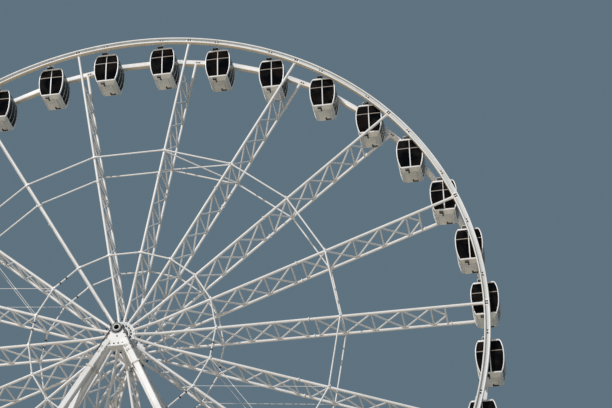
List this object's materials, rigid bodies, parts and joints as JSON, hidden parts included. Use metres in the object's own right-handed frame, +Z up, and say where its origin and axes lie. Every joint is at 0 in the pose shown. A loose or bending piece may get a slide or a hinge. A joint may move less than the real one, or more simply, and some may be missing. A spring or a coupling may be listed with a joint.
{
  "type": "observation wheel with hanging cabins (half-size scale model)",
  "caption": "Half-size model of a transportable observation wheel: lattice spokes between two rims, closed cabins hung on pins, and an A-frame stand on skids.",
  "frame": {"origin": "on the ground below the middle of the hub", "axes": "+Z up, Y along the wheel's axle with the boarding side at -Y, X across the wheel"},
  "size_m": [23.7844, 10, 25.195],
  "materials": {
    "frame_paint": "satin white paint, greyer underneath",
    "cabin_shell": "gloss white shell, dark tinted glass",
    "axle_steel": "machined steel, oiled",
    "base_paint": "grey paint, scuffed",
    "decking": "ribbed aluminium planks",
    "drive_paint": "grey paint, black tyre",
    "tinted_glass": "dark tinted glazing"
  },
  "bodies": {
    "stand": {"main_axle": "axle_steel", "front_head": "frame_paint", "front_left_legs": "frame_paint", "front_right_legs": "frame_paint", "rear_head": "frame_paint", "rear_left_legs": "frame_paint", "rear_right_legs": "frame_paint", "base_frame": "base_paint", "boarding_platform": "decking", "left_drive": "drive_paint", "right_drive": "drive_paint"},
    "wheel": {"front_rim": "frame_paint", "rear_rim": "frame_paint", "hub": "frame_paint", "inner_ring_front": "frame_paint", "inner_ring_rear": "frame_paint", "outer_ring_front": "frame_paint", "outer_ring_rear": "frame_paint", "spokes_1": "frame_paint", "spokes_2": "frame_paint", "spokes_3": "frame_paint", "spokes_4": "frame_paint", "spokes_5": "frame_paint", "spokes_6": "frame_paint"},
    "cabin_01": {"cabin_01": "cabin_shell"},
    "cabin_02": {"cabin_02": "cabin_shell"},
    "cabin_03": {"cabin_03": "cabin_shell"},
    "cabin_04": {"cabin_04": "cabin_shell"},
    "cabin_05": {"cabin_05": "cabin_shell"},
    "cabin_06": {"cabin_06": "cabin_shell"},
    "cabin_07": {"cabin_07": "cabin_shell"},
    "cabin_08": {"cabin_08": "cabin_shell"},
    "cabin_09": {"cabin_09": "cabin_shell"},
    "cabin_10": {"cabin_10": "cabin_shell"},
    "cabin_11": {"cabin_11": "cabin_shell"},
    "cabin_12": {"cabin_12": "cabin_shell"},
    "cabin_13": {"cabin_13": "cabin_shell"},
    "cabin_14": {"cabin_14": "cabin_shell"},
    "cabin_15": {"cabin_15": "cabin_shell"},
    "cabin_16": {"cabin_16": "cabin_shell"},
    "cabin_17": {"cabin_17": "cabin_shell"},
    "cabin_18": {"cabin_18": "cabin_shell"},
    "cabin_19": {"cabin_19": "cabin_shell"},
    "cabin_20": {"cabin_20": "cabin_shell"},
    "cabin_21": {"cabin_21": "cabin_shell"},
    "cabin_22": {"cabin_22": "cabin_shell"},
    "cabin_23": {"cabin_23": "cabin_shell"},
    "cabin_24": {"cabin_24": "cabin_shell"},
    "cabin_25": {"cabin_25": "cabin_shell"},
    "cabin_26": {"cabin_26": "cabin_shell"},
    "cabin_27": {"cabin_27": "cabin_shell"},
    "cabin_28": {"cabin_28": "cabin_shell"},
    "cabin_29": {"cabin_29": "cabin_shell"},
    "cabin_30": {"cabin_30": "cabin_shell"},
    "cabin_31": {"cabin_31": "cabin_shell"},
    "cabin_32": {"cabin_32": "cabin_shell"},
    "cabin_33": {"cabin_33": "cabin_shell"},
    "cabin_34": {"cabin_34": "cabin_shell"},
    "cabin_35": {"cabin_35": "cabin_shell"},
    "cabin_36": {"cabin_36": "cabin_shell"}
  },
  "joints": [
    {"name": "wheel_spin", "type": "hinge", "parent": "stand", "child": "wheel", "pos_m": [0, 0, 13.6], "axis": [0, 1, 0], "continuous": true},
    {"name": "cabin_01_swing", "type": "hinge", "parent": "wheel", "child": "cabin_01", "pos_m": [11.45624, 0, 14.60229], "axis": [0, 1, 0], "continuous": true},
    {"name": "cabin_02_swing", "type": "hinge", "parent": "wheel", "child": "cabin_02", "pos_m": [11.10815, 0, 16.57642], "axis": [0, 1, 0], "continuous": true},
    {"name": "cabin_03_swing", "type": "hinge", "parent": "wheel", "child": "cabin_03", "pos_m": [10.42254, 0, 18.46011], "axis": [0, 1, 0], "continuous": true},
    {"name": "cabin_04_swing", "type": "hinge", "parent": "wheel", "child": "cabin_04", "pos_m": [9.42025, 0, 20.19613], "axis": [0, 1, 0], "continuous": true},
    {"name": "cabin_05_swing", "type": "hinge", "parent": "wheel", "child": "cabin_05", "pos_m": [8.13173, 0, 21.73173], "axis": [0, 1, 0], "continuous": true},
    {"name": "cabin_06_swing", "type": "hinge", "parent": "wheel", "child": "cabin_06", "pos_m": [6.59613, 0, 23.02025], "axis": [0, 1, 0], "continuous": true},
    {"name": "cabin_07_swing", "type": "hinge", "parent": "wheel", "child": "cabin_07", "pos_m": [4.86011, 0, 24.02254], "axis": [0, 1, 0], "continuous": true},
    {"name": "cabin_08_swing", "type": "hinge", "parent": "wheel", "child": "cabin_08", "pos_m": [2.97642, 0, 24.70815], "axis": [0, 1, 0], "continuous": true},
    {"name": "cabin_09_swing", "type": "hinge", "parent": "wheel", "child": "cabin_09", "pos_m": [1.00229, 0, 25.05624], "axis": [0, 1, 0], "continuous": true},
    {"name": "cabin_10_swing", "type": "hinge", "parent": "wheel", "child": "cabin_10", "pos_m": [-1.00229, 0, 25.05624], "axis": [0, 1, 0], "continuous": true},
    {"name": "cabin_11_swing", "type": "hinge", "parent": "wheel", "child": "cabin_11", "pos_m": [-2.97642, 0, 24.70815], "axis": [0, 1, 0], "continuous": true},
    {"name": "cabin_12_swing", "type": "hinge", "parent": "wheel", "child": "cabin_12", "pos_m": [-4.86011, 0, 24.02254], "axis": [0, 1, 0], "continuous": true},
    {"name": "cabin_13_swing", "type": "hinge", "parent": "wheel", "child": "cabin_13", "pos_m": [-6.59613, 0, 23.02025], "axis": [0, 1, 0], "continuous": true},
    {"name": "cabin_14_swing", "type": "hinge", "parent": "wheel", "child": "cabin_14", "pos_m": [-8.13173, 0, 21.73173], "axis": [0, 1, 0], "continuous": true},
    {"name": "cabin_15_swing", "type": "hinge", "parent": "wheel", "child": "cabin_15", "pos_m": [-9.42025, 0, 20.19613], "axis": [0, 1, 0], "continuous": true},
    {"name": "cabin_16_swing", "type": "hinge", "parent": "wheel", "child": "cabin_16", "pos_m": [-10.42254, 0, 18.46011], "axis": [0, 1, 0], "continuous": true},
    {"name": "cabin_17_swing", "type": "hinge", "parent": "wheel", "child": "cabin_17", "pos_m": [-11.10815, 0, 16.57642], "axis": [0, 1, 0], "continuous": true},
    {"name": "cabin_18_swing", "type": "hinge", "parent": "wheel", "child": "cabin_18", "pos_m": [-11.45624, 0, 14.60229], "axis": [0, 1, 0], "continuous": true},
    {"name": "cabin_19_swing", "type": "hinge", "parent": "wheel", "child": "cabin_19", "pos_m": [-11.45624, 0, 12.59771], "axis": [0, 1, 0], "continuous": true},
    {"name": "cabin_20_swing", "type": "hinge", "parent": "wheel", "child": "cabin_20", "pos_m": [-11.10815, 0, 10.62358], "axis": [0, 1, 0], "continuous": true},
    {"name": "cabin_21_swing", "type": "hinge", "parent": "wheel", "child": "cabin_21", "pos_m": [-10.42254, 0, 8.73989], "axis": [0, 1, 0], "continuous": true},
    {"name": "cabin_22_swing", "type": "hinge", "parent": "wheel", "child": "cabin_22", "pos_m": [-9.42025, 0, 7.00387], "axis": [0, 1, 0], "continuous": true},
    {"name": "cabin_23_swing", "type": "hinge", "parent": "wheel", "child": "cabin_23", "pos_m": [-8.13173, 0, 5.46827], "axis": [0, 1, 0], "continuous": true},
    {"name": "cabin_24_swing", "type": "hinge", "parent": "wheel", "child": "cabin_24", "pos_m": [-6.59613, 0, 4.17975], "axis": [0, 1, 0], "continuous": true},
    {"name": "cabin_25_swing", "type": "hinge", "parent": "wheel", "child": "cabin_25", "pos_m": [-4.86011, 0, 3.17746], "axis": [0, 1, 0], "continuous": true},
    {"name": "cabin_26_swing", "type": "hinge", "parent": "wheel", "child": "cabin_26", "pos_m": [-2.97642, 0, 2.49185], "axis": [0, 1, 0], "continuous": true},
    {"name": "cabin_27_swing", "type": "hinge", "parent": "wheel", "child": "cabin_27", "pos_m": [-1.00229, 0, 2.14376], "axis": [0, 1, 0], "continuous": true},
    {"name": "cabin_28_swing", "type": "hinge", "parent": "wheel", "child": "cabin_28", "pos_m": [1.00229, 0, 2.14376], "axis": [0, 1, 0], "continuous": true},
    {"name": "cabin_29_swing", "type": "hinge", "parent": "wheel", "child": "cabin_29", "pos_m": [2.97642, 0, 2.49185], "axis": [0, 1, 0], "continuous": true},
    {"name": "cabin_30_swing", "type": "hinge", "parent": "wheel", "child": "cabin_30", "pos_m": [4.86011, 0, 3.17746], "axis": [0, 1, 0], "continuous": true},
    {"name": "cabin_31_swing", "type": "hinge", "parent": "wheel", "child": "cabin_31", "pos_m": [6.59613, 0, 4.17975], "axis": [0, 1, 0], "continuous": true},
    {"name": "cabin_32_swing", "type": "hinge", "parent": "wheel", "child": "cabin_32", "pos_m": [8.13173, 0, 5.46827], "axis": [0, 1, 0], "continuous": true},
    {"name": "cabin_33_swing", "type": "hinge", "parent": "wheel", "child": "cabin_33", "pos_m": [9.42025, 0, 7.00387], "axis": [0, 1, 0], "continuous": true},
    {"name": "cabin_34_swing", "type": "hinge", "parent": "wheel", "child": "cabin_34", "pos_m": [10.42254, 0, 8.73989], "axis": [0, 1, 0], "continuous": true},
    {"name": "cabin_35_swing", "type": "hinge", "parent": "wheel", "child": "cabin_35", "pos_m": [11.10815, 0, 10.62358], "axis": [0, 1, 0], "continuous": true},
    {"name": "cabin_36_swing", "type": "hinge", "parent": "wheel", "child": "cabin_36", "pos_m": [11.45624, 0, 12.59771], "axis": [0, 1, 0], "continuous": true}
  ],
  "couplings": [
    {"joint": "cabin_01_swing", "follows": "wheel_spin", "ratio": -1},
    {"joint": "cabin_02_swing", "follows": "wheel_spin", "ratio": -1},
    {"joint": "cabin_03_swing", "follows": "wheel_spin", "ratio": -1},
    {"joint": "cabin_04_swing", "follows": "wheel_spin", "ratio": -1},
    {"joint": "cabin_05_swing", "follows": "wheel_spin", "ratio": -1},
    {"joint": "cabin_06_swing", "follows": "wheel_spin", "ratio": -1},
    {"joint": "cabin_07_swing", "follows": "wheel_spin", "ratio": -1},
    {"joint": "cabin_08_swing", "follows": "wheel_spin", "ratio": -1},
    {"joint": "cabin_09_swing", "follows": "wheel_spin", "ratio": -1},
    {"joint": "cabin_10_swing", "follows": "wheel_spin", "ratio": -1},
    {"joint": "cabin_11_swing", "follows": "wheel_spin", "ratio": -1},
    {"joint": "cabin_12_swing", "follows": "wheel_spin", "ratio": -1},
    {"joint": "cabin_13_swing", "follows": "wheel_spin", "ratio": -1},
    {"joint": "cabin_14_swing", "follows": "wheel_spin", "ratio": -1},
    {"joint": "cabin_15_swing", "follows": "wheel_spin", "ratio": -1},
    {"joint": "cabin_16_swing", "follows": "wheel_spin", "ratio": -1},
    {"joint": "cabin_17_swing", "follows": "wheel_spin", "ratio": -1},
    {"joint": "cabin_18_swing", "follows": "wheel_spin", "ratio": -1},
    {"joint": "cabin_19_swing", "follows": "wheel_spin", "ratio": -1},
    {"joint": "cabin_20_swing", "follows": "wheel_spin", "ratio": -1},
    {"joint": "cabin_21_swing", "follows": "wheel_spin", "ratio": -1},
    {"joint": "cabin_22_swing", "follows": "wheel_spin", "ratio": -1},
    {"joint": "cabin_23_swing", "follows": "wheel_spin", "ratio": -1},
    {"joint": "cabin_24_swing", "follows": "wheel_spin", "ratio": -1},
    {"joint": "cabin_25_swing", "follows": "wheel_spin", "ratio": -1},
    {"joint": "cabin_26_swing", "follows": "wheel_spin", "ratio": -1},
    {"joint": "cabin_27_swing", "follows": "wheel_spin", "ratio": -1},
    {"joint": "cabin_28_swing", "follows": "wheel_spin", "ratio": -1},
    {"joint": "cabin_29_swing", "follows": "wheel_spin", "ratio": -1},
    {"joint": "cabin_30_swing", "follows": "wheel_spin", "ratio": -1},
    {"joint": "cabin_31_swing", "follows": "wheel_spin", "ratio": -1},
    {"joint": "cabin_32_swing", "follows": "wheel_spin", "ratio": -1},
    {"joint": "cabin_33_swing", "follows": "wheel_spin", "ratio": -1},
    {"joint": "cabin_34_swing", "follows": "wheel_spin", "ratio": -1},
    {"joint": "cabin_35_swing", "follows": "wheel_spin", "ratio": -1},
    {"joint": "cabin_36_swing", "follows": "wheel_spin", "ratio": -1}
  ]
}
